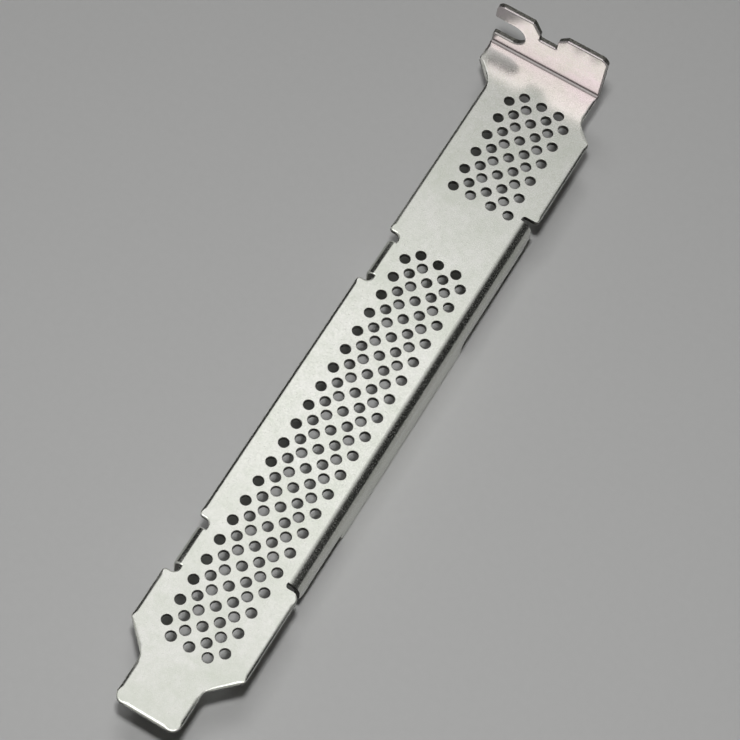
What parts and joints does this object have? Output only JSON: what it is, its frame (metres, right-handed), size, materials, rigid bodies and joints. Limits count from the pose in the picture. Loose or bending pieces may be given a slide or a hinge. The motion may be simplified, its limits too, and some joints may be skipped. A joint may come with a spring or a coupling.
{
  "type": "full-height expansion card bracket",
  "caption": "Punched and folded steel plate that closes a computer expansion slot and holds a card: vented blade, slotted screw tab, tongue, screw ears and stiffening flange.",
  "frame": {"origin": "on the ground under the middle of the part's box, as it lies on its ears and flange", "axes": "+Z out of the outside face of the blade, +Y along the blade towards the screw tab, +X towards the flange"},
  "size_m": [0.0218, 0.12, 0.0182],
  "materials": {
    "plated_steel": "bright plated, satin"
  },
  "bodies": {
    "root": {"bracket": "plated_steel"}
  },
  "joints": []
}
